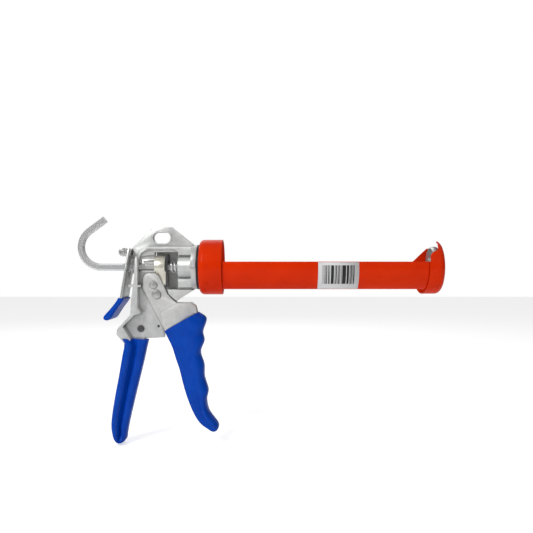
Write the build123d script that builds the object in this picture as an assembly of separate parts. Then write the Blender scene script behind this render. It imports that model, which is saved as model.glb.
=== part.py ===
from build123d import *
import math
import os

os.makedirs("parts", exist_ok=True)

# Caulking gun, millimetres. +X runs along the push rod towards the nozzle, +Z up, handles down.
# The origin is where the rod's axis meets the front face of the casting's flange.

# --- driving dimensions: cradle ---
cartridge_bay = 215.9          # collar rim to the outside of the front cap
sheet = 1.4                    # strip and cap sheet thickness
collar_sheet = 2.1
collar_depth = 23.0
collar_shoulder = 5.0
cap_depth = 18.0
cap_shoulder = 6.0
strip_radius = 25.1            # outside
strip_low_angle = 60.0         # degrees below the near side where the strip ends
strip_high_angle = -12.5       # and where it begins, above the near side
strip_weld_lap = 12.0          # how far the strip reaches into collar and cap
weld_gap = 0.1                 # paint-filled gap between lapped sheets
nozzle_slot = 20.4             # width of the slot in the front cap
nozzle_slot_lean = 22.0        # degrees the slot leans away from the strip's side
cap_tilt = 5.0                 # degrees the cap's rim leans back on the open side

# --- push rod and piston ---
rod_flats = 6.4                # hexagon across flats
hook_reach = 96.8              # flange to the start of the hook, piston at the nose
rod_end_depth = 2.0            # rod's front end behind the piston's rim
hook_radius = 19.8             # centreline
hook_turn = 143.3              # degrees of bend
hook_tail = 20.0               # straight end of the hook
piston_radius = 20.3
piston_rim = 6.0               # depth of the turned rim
piston_sheet = 1.6
piston_cap_gap = 2.2           # piston rim to the cap's plate at full stroke
nut_flats = 10.0
nut_length = 3.6
rod_clearance = 0.15           # corner of the hexagon to a guiding bore
loose_clearance = 0.9          # to the holes that the rod only passes through

# --- casting ---
web = 5.0                      # thickness of the middle web
hanger = 9.0                   # thickness of the hanger plate
rib_width = 13.0               # width of ribs and pads across the web
back_width = 24.0              # width of the back flange
pocket_floor = 2.4             # far wall of the mechanism pocket
flange_radius = 22.0
flange_thickness = 5.0
boss_radius = 11.4
boss_length = 14.0
hub_radius = 9.0
hub_clearance = 0.08
washer_thickness = 2.0
washer_radius = 22.2
hang_slot_length = 17.5
hang_slot_height = 10.8
ring_thickness = 1.5
ring_radius = 12.0
ring_groove = 0.8
face_gap = 0.3                 # between faces that turn or slide past each other

# --- trigger and drive ---
pivot_x, pivot_z = -40.3, -27.1
drive_arm = 10.0               # pivot pin to drive pin
drive_lean = 18.6              # degrees the drive pin leans back at rest
cheek = 2.2                    # trigger sheet
fork_gap = 7.0
pivot_pin_radius = 3.0
pivot_head_radius = 4.0
drive_pin_radius = 2.6
drive_head_radius = 3.5
drive_cam_radius = 3.6         # thick middle of the drive pin
pivot_boss_radius = 10.75
sweep_spare = 3.9              # degrees of free room behind the drive pin at rest
sweep_height = 16.5            # how far the drive pin's window reaches above the pivot
pin_clearance = 0.05
block_radius = 11.1
block_length = 10.0
block_back = -41.9
key_height = 3.2
key_spare = 0.755              # slot above the guide key
label_back = 123.0             # cap's front face to the sticker's back end
label_length = 39.4
label_thickness = 0.25
grip_plate = 1.2
grip_plate_top = 12.4
grip_plate_bottom = -19.6
grip_plate_width = 15.0
spring_wire = 1.4
spring_radius = 5.2            # coil centreline

# --- release lever ---
lever_sheet = 2.2
lever_width = 32.0
lever_pivot_x, lever_pivot_z = -74.0, 15.1
lever_pin_radius = 1.5
lever_ear_radius = 4.0
lever_lug = 1.6
lever_lug_gap = 6.2
lever_top = (-65.6, 18.3)       # middle line of the plate, side view
lever_lean = 9.2               # degrees off upright
lever_knee_z = -31.0
lever_toe = (-14.0, -17.6)     # from the knee to the plate's end
dip = 1.7                      # vinyl dip thickness
dip_overrun = 2.0              # vinyl past the plate's end

# --- vinyl grips ---
grip_skin = 2.2
handle_flange_width = 26.0
handle_web_width = 11.0
trigger_grip_width = 15.0
finger_flange_width = 22.0

# --- derived places ---
cap_radius = strip_radius + weld_gap + sheet
collar_radius = strip_radius + weld_gap + collar_sheet
collar_back = washer_thickness + 2 * 0.1
collar_rim = collar_back + collar_depth
cap_front = collar_rim + cartridge_bay
rod_corner = rod_flats / math.sqrt(3)
piston_front = cap_front - sheet - piston_cap_gap
piston_back = piston_front - piston_rim
rod_front = piston_front - rod_end_depth
hook_x = -hook_reach
boss_back = -flange_thickness - boss_length
ring_back = collar_back + collar_sheet + face_gap
hub_front = ring_back + ring_thickness + 1.2
drive_x = pivot_x - drive_arm * math.sin(math.radians(drive_lean))
drive_z = pivot_z + drive_arm * math.cos(math.radians(drive_lean))
block_front = block_back + block_length
key_low = rod_corner + 0.35
plates_front = block_front + 0.2 + 2 * grip_plate


def side(outline, width):
    """A solid of an outline in X and Z, centred on the gun's middle plane."""
    return extrude(Plane.XZ * outline, amount=width / 2, both=True)


def poly(*points):
    """A flat face through the given points."""
    return make_face(Polyline(*points, close=True))


def tube(radius, x0, x1):
    """A round bar along the rod's axis."""
    return Pos(x0, 0, 0) * extrude(Plane.YZ * Circle(radius), amount=x1 - x0)


def hexagon_bar(flats, x0, x1):
    """A hexagonal bar along the rod's axis, a corner on top."""
    outline = RegularPolygon(flats / math.sqrt(3), 6, rotation=30)
    return Pos(x0, 0, 0) * extrude(Plane.YZ * outline, amount=x1 - x0)


def cross_pin(radius, x, z, width):
    """A round pin across the gun."""
    return Pos(x, 0, z) * side(Circle(radius), width)


def block(x0, x1, y0, y1, z0, z1):
    """A box between two corners."""
    centre = Pos((x0 + x1) / 2, (y0 + y1) / 2, (z0 + z1) / 2)
    return centre * Box(x1 - x0, y1 - y0, z1 - z0)


def save(solid, name):
    """Write one sub-part."""
    solid.label = name
    export_step(solid, f"parts/{name}.step")


def cup(radius, wall, back, front, shoulder, open_front):
    """A pressed cup with a rounded shoulder at its closed end."""
    depth = front - back
    outer = tube(radius, back, front)
    inner = tube(radius - wall, back + wall, front + 1)
    closed_x = back
    if not open_front:
        inner = tube(radius - wall, back - 1, front - wall)
        closed_x = front
    rim = outer.edges().filter_by(GeomType.CIRCLE).sort_by(lambda e: abs(e.center().X - closed_x))[0]
    outer = fillet(rim, min(shoulder, depth / 2))
    face_x = closed_x + (wall if open_front else -wall)
    rim = inner.edges().filter_by(GeomType.CIRCLE).sort_by(lambda e: abs(e.center().X - face_x))[0]
    inner = fillet(rim, min(shoulder, depth / 2) - wall + 0.2)
    return outer - inner


def rear_collar():
    """Cup that takes the cartridge's back end and turns on the hub."""
    shell = cup(collar_radius, collar_sheet, collar_back, collar_rim, collar_shoulder, True)
    return shell - tube(hub_radius + hub_clearance, collar_back - 1, collar_rim)


def cradle_strip():
    """Curved strip from the collar to the cap, lapped inside both."""
    start = collar_rim - strip_weld_lap
    end = cap_front - cap_shoulder - 0.5
    ring = tube(strip_radius, start, end) - tube(strip_radius - sheet, start - 1, end + 1)
    reach = 3 * strip_radius
    low = math.radians(strip_low_angle)
    high = math.radians(strip_high_angle)
    wedge = poly(
        (0, 0),
        (-reach * math.cos(high), -reach * math.sin(high)),
        (-reach * math.cos((low + high) / 2), -reach * math.sin((low + high) / 2)),
        (-reach * math.cos(low), -reach * math.sin(low)),
    )
    sector = Pos(start - 1, 0, 0) * extrude(Plane.YZ * wedge, amount=end - start + 2)
    return ring & sector


def front_cap():
    """Cup over the cartridge's nose, cut open above the strip, with the nozzle's slot."""
    back = cap_front - cap_depth
    shell = cup(cap_radius, sheet, back - 6, cap_front, cap_shoulder, False)
    behind = Box(40, 80, 80, align=(Align.MAX, Align.CENTER, Align.CENTER))
    lean = Pos(back, 0, 0) * Rot(0, 0, cap_tilt) * behind
    shell -= lean
    strip_top = -strip_radius * math.sin(math.radians(strip_high_angle))
    near = poly(
        (back - 20, strip_top), (back + 3.2, strip_top), (back + 3.6, strip_top + 6),
        (back + 5.5, strip_top + 8.6), (back + 8.6, strip_top + 10.2), (back + 11.4, strip_top + 11),
        (back + 12.8, strip_top + 16), (cap_front - sheet - 0.6, strip_top + 22), (back - 20, strip_top + 24),
    )
    near_cut = extrude(Plane.XZ * near, amount=cap_radius + 5)
    far = poly(
        (back - 20, strip_top + 1), (back - 1.5, strip_top + 1), (back + 12.5, strip_top + 16),
        (back + 12.5, strip_top + 24), (back - 20, strip_top + 24),
    )
    far_cut = extrude(Plane.XZ * far, amount=-(cap_radius + 5))
    slot = Pos(cap_front - 10, 0, 0) * Rot(-nozzle_slot_lean, 0, 0) * (
        Pos(0, 0, 20) * Box(40, nozzle_slot, 40)
        + Rot(0, 90, 0) * Cylinder(nozzle_slot / 2, 40)
    )
    return shell - near_cut - far_cut - slot


def swivel_washer():
    """Black washer between flange and collar."""
    return tube(washer_radius, 0.1, 0.1 + washer_thickness) - tube(hub_radius + 0.3, 0, 5)


def hub_ring():
    """Retaining ring in the hub's groove, in front of the collar's floor."""
    ring = tube(ring_radius, ring_back, ring_back + ring_thickness)
    ring -= tube(hub_radius - ring_groove, ring_back - 1, ring_back + 3)
    gap = block(ring_back - 1, ring_back + 3, -2.5, 2.5, 0, ring_radius + 1)
    return ring - gap


def push_rod():
    """Hexagonal rod, bent into a hook at its back end."""
    centre = (hook_x, 0, hook_radius)
    turned = math.radians(hook_turn)
    bend_end = (
        hook_x - hook_radius * math.sin(turned), 0, hook_radius - hook_radius * math.cos(turned),
    )
    tail_end = (
        bend_end[0] - hook_tail * math.cos(turned), 0, bend_end[2] + hook_tail * math.sin(turned),
    )
    middle = math.radians(hook_turn / 2)
    bend_middle = (
        hook_x - hook_radius * math.sin(middle), 0, hook_radius - hook_radius * math.cos(middle),
    )
    path = (
        Line((rod_front - 2.2, 0, 0), (hook_x, 0, 0))
        + ThreePointArc((hook_x, 0, 0), bend_middle, bend_end)
        + Line(bend_end, tail_end)
    )
    section = Plane((rod_front - 2.2, 0, 0), x_dir=(0, 1, 0), z_dir=(-1, 0, 0)) * RegularPolygon(
        rod_corner, 6, rotation=30
    )
    bar = sweep(section, path=path)
    end = Pos(rod_front - 2.2, 0, 0) * extrude(Plane.YZ * Circle(rod_corner * 0.8), amount=2.2)
    return bar + end


def piston_disc():
    """Pressed push plate with its rim turned forward."""
    disc = cup(piston_radius, piston_sheet, piston_back, piston_front, 2.5, True)
    return disc - hexagon_bar(rod_flats + 0.1, piston_back - 1, piston_front)


def piston_washer():
    """Washer welded to the rod behind the push plate."""
    front = piston_back - 0.05
    washer = tube(8.5, front - 2.0, front)
    return washer - hexagon_bar(rod_flats + 0.1, front - 3, front + 1)


def piston_nut():
    """Nut on the rod's end in front of the push plate."""
    back = piston_back + piston_sheet + 0.05
    nut = hexagon_bar(nut_flats, back, back + nut_length)
    return nut - hexagon_bar(rod_flats + 0.1, back - 1, back + nut_length + 1)


def hanger_plate():
    """Plate above the mechanism with the hanging slot and the ear for the release lever."""
    plate = side(
        poly((-64.2, 10.6), (-64.2, 19.6), (-42.9, 39.7), (-25.8, 39.7), (-3.0, 21.6),
             (-1.0, 12), (boss_back, 12), (boss_back, 15), (-59, 10.6)),
        hanger,
    )
    ear = cross_pin(lever_ear_radius, lever_pivot_x, lever_pivot_z, lever_lug_gap - 1.2)
    neck = block(lever_pivot_x, -63, -2.5, 2.5, lever_pivot_z - 3.6, lever_pivot_z + 3.4)
    slot = Pos(-35.6, 0, 29.1) * side(SlotOverall(hang_slot_length, hang_slot_height), 30)
    collar = Pos(-35.6, 0, 29.1) * side(SlotOverall(hang_slot_length + 3, hang_slot_height + 3), hanger + 1)
    return plate + ear + neck + collar - slot


def top_rib():
    """Rib round the top and back of the mechanism's recess."""
    inner = [(-58.3, 7.5), (-55.4, 14.0), (-48.5, 17.6), (-23, 17.6), (boss_back, 14.8)]
    outline = poly(
        (-60.6, 5.5), (-60.6, 9), (-57, 15.6), (-49.6, 19.8), (-4, 19.8), (-4, 12), (boss_back, 12),
        inner[4], inner[3], inner[2], inner[1], inner[0],
    )
    return side(outline, rib_width)


def back_flange():
    """Wide flange behind the web that runs down into the fixed handle."""
    outline = poly(
        (-58.3, 8.5), (-58.3, -39.5), (-55.2, -45.2), (-62.0, -47.6), (-73.0, -58.4), (-65.0, -71.5),
        (-70.5, -76.0), (-78.8, -66.0), (-78.0, -60.7), (-65.3, -47.0), (-64.3, -31.4), (-61.4, -8.7),
        (-60.7, 8.5),
    )
    return side(outline, back_width)


def middle_web():
    """Thin web between the flange, the hanger plate and the front gusset."""
    outline = poly(
        (-60, 12), (-50, 19), (-18, 19), (-18, -20), (-4, -22), (-22.5, -34.5), (-30, -50), (-33.2, -61.4),
        (-33, -70), (-66, -71.5), (-74, -60), (-63, -47), (-60, -40),
    )
    rib = block(-67.2, -55.5, -back_width / 2, back_width / 2, -19.6, -17.4)
    return side(outline, web) + rib


def handle_outline():
    """Side outline of the fixed handle's vinyl."""
    return poly(
        (-75.4, -70.2), (-70.9, -76.5), (-76.6, -109.7), (-83.4, -146.4), (-84.3, -157.5), (-82.0, -170.5),
        (-78.3, -174.2), (-73.6, -174.0), (-71.2, -171.0), (-67.8, -156.5), (-58.7, -115.6), (-51.1, -80.6),
        (-49.0, -72.2),
    )


def handle_band():
    """The back part of the handle's outline, where its flange is."""
    return poly(
        (-95, -60), (-66.5, -71.2), (-62.6, -78), (-68.6, -110), (-76, -150), (-78.5, -180), (-95, -180),
    )


def handle_core():
    """Cast T section inside the fixed handle's vinyl."""
    outline = offset(handle_outline(), amount=-grip_skin)
    band = offset(handle_outline() & handle_band(), amount=-grip_skin)
    neck = poly((-70.5, -66), (-51.5, -66), (-53.8, -79), (-68, -79))
    return side(outline, web) + side(band, handle_flange_width - 2 * grip_skin) + side(neck, web)


def front_block():
    """Boss for the rod, its pads above and below, the flange and the hub."""
    boss = tube(boss_radius, boss_back, -flange_thickness + 0.5)
    low_pad = side(poly((boss_back, -12), (-5, -12), (-4, -20), (boss_back, -20)), rib_width)
    core = side(poly((boss_back, 14), (-4, 14), (-4, -22), (boss_back, -22)), web + 4)
    brace = poly((-29.3, -22.4), (-3.4, -22.4), (-20.9, -33.2), (-24.0, -30.7), (-28.6, -26.4))
    gusset = side(brace, rib_width - 1)
    flange = tube(flange_radius, -flange_thickness, 0)
    hub = tube(hub_radius, -1, hub_front)
    groove = tube(hub_radius + 1, ring_back - 0.1, ring_back + ring_thickness + 0.1)
    groove -= tube(hub_radius - ring_groove - 0.1, ring_back - 1, ring_back + 3)
    lug = block(-5.5, -0.4, -flange_radius - 0.9, -flange_radius + 3, -0.4, 6.3)
    return boss + low_pad + core + gusset + flange + (hub - groove) + lug


def mechanism_window():
    """Everything cut out of the web for block, grip plates, spring and drive pin."""
    front = boss_back - 0.05
    window = side(poly((-42.6, 14.9), (front, 14.9), (front, -22.3), (-42.6, -22.3)), 60)
    rod_slot = block(-57.9, -42, -30, 30, -rod_corner - 0.4, key_low + key_height + key_spare)
    sweep_low = drive_arm - drive_cam_radius - 0.4
    sweep_high = drive_arm + drive_cam_radius + 0.5
    ring = cross_pin(sweep_high, pivot_x, pivot_z, web + 6)
    ring -= cross_pin(sweep_low, pivot_x, pivot_z, web + 8)
    pin_reach = math.degrees(math.asin(drive_cam_radius / drive_arm))
    back = pivot_x - sweep_height * math.tan(math.radians(drive_lean + pin_reach + sweep_spare))
    top = pivot_z + sweep_height
    quarter = side(poly((pivot_x, pivot_z), (back, top), (-30, top), (-30, pivot_z + 5)), 20)
    return window + rod_slot + (ring & quarter)


def ejector_hole():
    """Blind ejector hole in the web's near face."""
    depth = web - 1.0
    return Pos(0, depth / 2 - web / 2, 0) * cross_pin(1.3, -38.9, -58.8, depth)


def body_casting():
    """Die-cast frame in one piece."""
    body = hanger_plate() + top_rib() + back_flange() + middle_web() + handle_core() + front_block()
    body += cross_pin(pivot_boss_radius, pivot_x, pivot_z, fork_gap - 2 * face_gap - 0.2)
    body -= mechanism_window()
    floor_y = block_radius + 0.8
    body += block(-43.5, boss_back + 0.5, floor_y, floor_y + pocket_floor, -24.5, 19.8)
    body += block(-43.5, boss_back + 0.5, 0, floor_y + pocket_floor, 14.9, 19.8)
    body += block(-29.3, boss_back + 0.5, 0, floor_y + pocket_floor, -24.5, -22.3)
    body -= tube(rod_corner + rod_clearance, boss_back - 2, hub_front + 1)
    body -= tube(rod_corner + loose_clearance, -70, -50)
    body -= cross_pin(pivot_pin_radius + 0.02, pivot_x, pivot_z, 40)
    body -= cross_pin(3.3, -56.6, -61.3, 40)
    body -= ejector_hole()
    body -= cross_pin(lever_pin_radius + pin_clearance, lever_pivot_x, lever_pivot_z, 12)
    return body


def handle_grip():
    """Vinyl over the handle's T section."""
    band = handle_outline() & handle_band()
    return side(handle_outline(), handle_web_width) + side(band, handle_flange_width) - body_casting()


def trigger_lever():
    """Pressed fork: two cheeks over the web, joined by the finger side."""
    cheeks = poly(
        (-53.8, -10.5), (-51.2, -7.1), (-48.2, -6.2), (-42.0, -6.2), (-38.4, -8.8), (-34.3, -16.9),
        (-29.9, -26.5), (-24.9, -31.8), (-20.7, -35.3), (-6.5, -35.1), (-2.1, -38.5), (-0.6, -44.2), (2.0, -56.0),
        (-1.0, -100.0), (3.0, -140.0), (-1.5, -140.0), (-8.0, -125.0), (-16.0, -95.0), (-28.5, -70.0),
        (-33.2, -61.4), (-50.2, -27.9), (-54.3, -21.0),
    )
    lever = side(cheeks, fork_gap + 2 * cheek)
    lower = poly(
        (-37.2, -45.5), (-20.7, -36.1), (-7, -35.8), (-2.1, -38.5), (-0.6, -44.2), (0.5, -50), (-32.0, -63.2),
    )
    lever += side(lower, fork_gap + 2 * cheek + 1.2)
    inside = poly(
        (-70, 0), (-20, 0), (-16.0, -37.5), (-6.4, -40.5), (-4.6, -58.0), (-14.0, -84.0), (-40, -100),
        (-70, -60),
    )
    lever -= side(inside, fork_gap)
    lever -= cross_pin(pivot_pin_radius + pin_clearance, pivot_x, pivot_z, 40)
    return lever - cross_pin(drive_pin_radius + 0.02, drive_x, drive_z, 40)


def grip_outline():
    """Side outline of the trigger's vinyl, with its finger swells."""
    fingers = Spline(
        (8.2, -52.0), (4.7, -65.1), (6.4, -72.9), (2.3, -84.9), (6.0, -97.7), (6.2, -109.8), (9.7, -123.3),
        (8.2, -132.4), (11.0, -143.9), (19.3, -155.6),
    )
    back = Spline((15.0, -163.2), (4.6, -157.2), (-8.2, -136.1), (-16.9, -109.5), (-25.6, -80.2), (-32.4, -63.4))
    top = Polyline((-32.4, -63.4), (-0.4, -44.6), (5.2, -46.0), (8.2, -52.0))
    tip = ThreePointArc((19.3, -155.6), (19.4, -161.2), (15.0, -163.2))
    return make_face(fingers + tip + back + top)


def trigger_grip():
    """Vinyl over the trigger's lower part, with a wider finger side."""
    outline = grip_outline()
    web_entry = side(poly((-60, -55), (-8.5, -55), (-16.0, -84.0), (-40, -100)), fork_gap)
    finger_side = outline & poly(
        (-4.0, -40), (30, -40), (30, -170), (10, -170), (0, -146), (-3.5, -120), (-5.5, -95), (-6.5, -70))
    grip = side(outline, trigger_grip_width) + side(finger_side, finger_flange_width)
    return grip - trigger_lever() - web_entry


def headed_pin(shank, head, x, z, grip, end):
    """Riveted pin with a low head on each side."""
    pin = cross_pin(shank, x, z, grip + 0.02)
    for y in (-1, 1):
        low = Pos(x, y * (grip / 2 + end / 2), z) * Rot(90, 0, 0) * Cylinder(head, end)
        pin += low
    return pin


def trigger_pivot_pin():
    """Rivet on which the trigger turns, fixed in the casting."""
    return headed_pin(pivot_pin_radius, pivot_head_radius, pivot_x, pivot_z, fork_gap + 2 * cheek + 0.3, 1.3)


def drive_pin():
    """Riveted pin across the fork with a thick middle that pushes the block."""
    pin = headed_pin(drive_pin_radius, drive_head_radius, drive_x, drive_z, fork_gap + 2 * cheek, 1.2)
    return pin + cross_pin(drive_cam_radius, drive_x, drive_z, web - 0.4)


def drive_block():
    """Plated block on the rod: round body with a narrow leg down to the drive pin."""
    body = tube(block_radius, block_back, block_front)
    body -= block(block_back - 1, block_front + 1, -20, 20, -20, -rod_corner + 0.5)
    lip_half = block_radius - 0.4
    lip = block(block_back, block_front, -lip_half, lip_half, -rod_corner - 0.1, -rod_corner + 0.6)
    body += lip
    leg_back = drive_x + drive_cam_radius + 0.35
    neck = block(block_back, block_front, -2.6, 2.6, -7.2, -rod_corner)
    leg = side(poly((leg_back, -6.8), (block_front, -6.8), (block_front, -17.2), (leg_back + 1.5, -18.4),
                    (leg_back, -17.6)), 5.2)
    bore = hexagon_bar(rod_flats + 2 * rod_clearance, block_back - 1, block_front + 1)
    return body + neck + leg - bore


def guide_key():
    """Steel key behind the block that slides in the web's slot."""
    high = key_low + key_height
    front = block_back - 0.02
    return side(poly((-54, key_low + 0.8), (-53.2, key_low), (front, key_low), (front, high),
                     (-53.2, high), (-54, high - 0.8)), web - 0.6)


def grip_plates():
    """Two hardened plates side by side in front of the block."""
    plates = []
    height = grip_plate_top - grip_plate_bottom
    for index in range(2):
        x = block_front + 0.1 + index * (grip_plate + 0.1)
        middle = (grip_plate_top + grip_plate_bottom) / 2
        outline = Pos(0, middle) * RectangleRounded(grip_plate_width, height, 2.5)
        plate = Pos(x, 0, 0) * extrude(Plane.YZ * outline, amount=grip_plate)
        plate -= block(x - 1, x + 3, -20, 20, -40, -4.6) - block(x - 2, x + 4, -3, 3, -40, 0)
        plates.append(plate - hexagon_bar(rod_flats + 2 * rod_clearance, x - 1, x + 3))
    return Compound(children=plates)


def coil(radius, wire, x0, x1, turns):
    """A helical spring along the rod's axis."""
    length = x1 - x0 - wire
    helix = Helix(pitch=length / turns, height=length, radius=radius)
    start = Plane(origin=helix @ 0, z_dir=helix % 0)
    spring = sweep(start * Circle(wire / 2), path=helix, is_frenet=True)
    return Pos(x0 + wire / 2, 0, 0) * Rot(0, 90, 0) * spring


def lever_points():
    """Top, knee and end of the release plate's middle line, in side view."""
    top_x, top_z = lever_top
    knee_x = top_x - (top_z - lever_knee_z) * math.tan(math.radians(lever_lean))
    return (top_x, top_z), (knee_x, lever_knee_z), (knee_x + lever_toe[0], lever_knee_z + lever_toe[1])


def release_lever():
    """Bent plate behind the casting with two lugs round the casting's ear."""
    (top_x, top_z), (knee_x, knee_z), (end_x, end_z) = lever_points()
    half = lever_sheet / 2
    plate = side(
        poly((top_x - half, top_z), (top_x + half, top_z), (knee_x + half + 0.1, knee_z),
             (end_x + 0.9, end_z - 0.7), (end_x - 0.9, end_z + 0.7), (knee_x - half, knee_z + 0.7)),
        lever_width,
    )
    plate -= block(-80, -55, -lever_lug_gap / 2, lever_lug_gap / 2, lever_pivot_z - 5.4, 25)
    plate -= tube(rod_corner + loose_clearance + 0.4, -80, -55)
    for y in (-1, 1):
        lug_y = y * (lever_lug_gap + lever_lug) / 2
        round_end = Rot(90, 0, 0) * Cylinder(lever_ear_radius + 0.4, lever_lug)
        lug = Pos(lever_pivot_x, lug_y, lever_pivot_z) * round_end
        arm = block(lever_pivot_x, top_x - 0.2, lug_y - lever_lug / 2, lug_y + lever_lug / 2,
                    lever_pivot_z - 3.6, lever_pivot_z + 2.4)
        plate += lug + arm
    return plate - cross_pin(lever_pin_radius + 0.02, lever_pivot_x, lever_pivot_z, 20)


def release_lever_grip():
    """Vinyl dip on the lever's bent end."""
    _, (knee_x, knee_z), (end_x, end_z) = lever_points()
    toe = math.hypot(*lever_toe)
    tip_x = end_x + lever_toe[0] / toe * dip_overrun
    tip_z = end_z + lever_toe[1] / toe * dip_overrun
    half = lever_sheet / 2 + dip
    outline = poly((knee_x - half, knee_z + 1.0), (knee_x + half + 0.2, knee_z + 0.4),
                   (tip_x + 2.0, tip_z - 1.4), (tip_x - 0.4, tip_z - 1.8), (tip_x - 2.2, tip_z + 0.2))
    return side(outline, lever_width + 2 * dip) - release_lever()


def lever_pivot_pin():
    """Pin through the lever's lugs and the casting's ear."""
    return cross_pin(lever_pin_radius, lever_pivot_x, lever_pivot_z, lever_lug_gap + 2 * lever_lug + 1.2)


def stop_pin():
    """Hard pin pressed in the web, where the squeezed trigger stops."""
    return cross_pin(3.3, -56.6, -61.3, web + 1.6)


def label_sticker():
    """Thin plain sticker on the strip."""
    start = cap_front - label_back
    end = start + label_length
    ring = tube(strip_radius + label_thickness, start, end) - tube(strip_radius + 0.02, start - 1, end + 1)
    reach = 3 * strip_radius
    low = math.radians(strip_low_angle - 3)
    high = math.radians(strip_high_angle + 1.5)
    middle = (low + high) / 2
    wedge = poly((0, 0), (-reach * math.cos(high), -reach * math.sin(high)),
                 (-reach * math.cos(middle), -reach * math.sin(middle)),
                 (-reach * math.cos(low), -reach * math.sin(low)))
    return ring & (Pos(start - 1, 0, 0) * extrude(Plane.YZ * wedge, amount=label_length + 2))


parts = {
    "rear_collar": rear_collar,
    "cradle_strip": cradle_strip,
    "front_cap": front_cap,
    "label_sticker": label_sticker,
    "swivel_washer": swivel_washer,
    "hub_ring": hub_ring,
    "push_rod": push_rod,
    "piston_disc": piston_disc,
    "piston_washer": piston_washer,
    "piston_nut": piston_nut,
    "body_casting": body_casting,
    "handle_grip": handle_grip,
    "trigger_lever": trigger_lever,
    "trigger_grip": trigger_grip,
    "trigger_pivot_pin": trigger_pivot_pin,
    "drive_pin": drive_pin,
    "drive_block": drive_block,
    "guide_key": guide_key,
    "grip_plates": grip_plates,
    "return_spring": lambda: coil(spring_radius, spring_wire, plates_front + 0.1, boss_back - 0.1, 2.5),
    "release_lever": release_lever,
    "release_lever_grip": release_lever_grip,
    "lever_pivot_pin": lever_pivot_pin,
    "release_spring": lambda: coil(6.2, 0.9, -66.1, -61.6, 2.5),
    "stop_pin": stop_pin,
}

for name, make in parts.items():
    save(make(), name)
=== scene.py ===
"""Visual model of a caulking gun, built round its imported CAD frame.

Units are metres. +X runs along the push rod towards the nozzle, +Z is up, and the side that is
seen first is -Y. Sizes that follow the frame are taken from the boxes of its nodes.
"""

import logging
import math
from dataclasses import dataclass, field
from enum import Enum
from typing import Callable, Sequence

import bmesh
import bpy
from mathutils import Matrix, Vector


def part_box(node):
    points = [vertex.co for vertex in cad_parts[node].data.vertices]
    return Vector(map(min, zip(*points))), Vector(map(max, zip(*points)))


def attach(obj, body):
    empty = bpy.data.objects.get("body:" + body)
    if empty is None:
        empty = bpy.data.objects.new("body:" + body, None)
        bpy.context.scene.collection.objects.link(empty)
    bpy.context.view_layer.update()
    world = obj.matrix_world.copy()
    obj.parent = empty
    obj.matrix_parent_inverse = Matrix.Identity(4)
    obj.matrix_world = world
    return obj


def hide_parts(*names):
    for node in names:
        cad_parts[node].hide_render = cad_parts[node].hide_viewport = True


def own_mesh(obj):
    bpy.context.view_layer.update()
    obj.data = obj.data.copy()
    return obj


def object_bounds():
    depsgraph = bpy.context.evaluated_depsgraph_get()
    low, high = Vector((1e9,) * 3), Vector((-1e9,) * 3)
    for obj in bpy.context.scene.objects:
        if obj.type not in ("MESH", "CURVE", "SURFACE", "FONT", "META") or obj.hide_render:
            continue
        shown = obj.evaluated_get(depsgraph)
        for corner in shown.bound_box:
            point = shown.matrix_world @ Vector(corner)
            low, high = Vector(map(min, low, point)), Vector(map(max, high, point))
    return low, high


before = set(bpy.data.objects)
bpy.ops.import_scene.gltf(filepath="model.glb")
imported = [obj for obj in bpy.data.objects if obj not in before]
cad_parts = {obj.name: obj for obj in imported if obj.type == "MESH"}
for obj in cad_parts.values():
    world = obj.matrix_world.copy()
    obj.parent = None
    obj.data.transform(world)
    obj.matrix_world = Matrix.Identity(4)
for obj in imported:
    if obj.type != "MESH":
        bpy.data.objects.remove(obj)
cad_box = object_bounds()

logging.basicConfig(level=logging.INFO, format="%(message)s")
log = logging.getLogger("caulking_gun")

MM = 0.001


class Body(Enum):
    """The moving bodies of the gun."""

    FRAME = "frame"
    CRADLE = "cradle"
    ROD = "rod"
    TRIGGER = "trigger"
    DRIVE = "drive"
    RELEASE = "release"


# ---------------------------------------------------------------------------------------------
# finishes
# ---------------------------------------------------------------------------------------------


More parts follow.
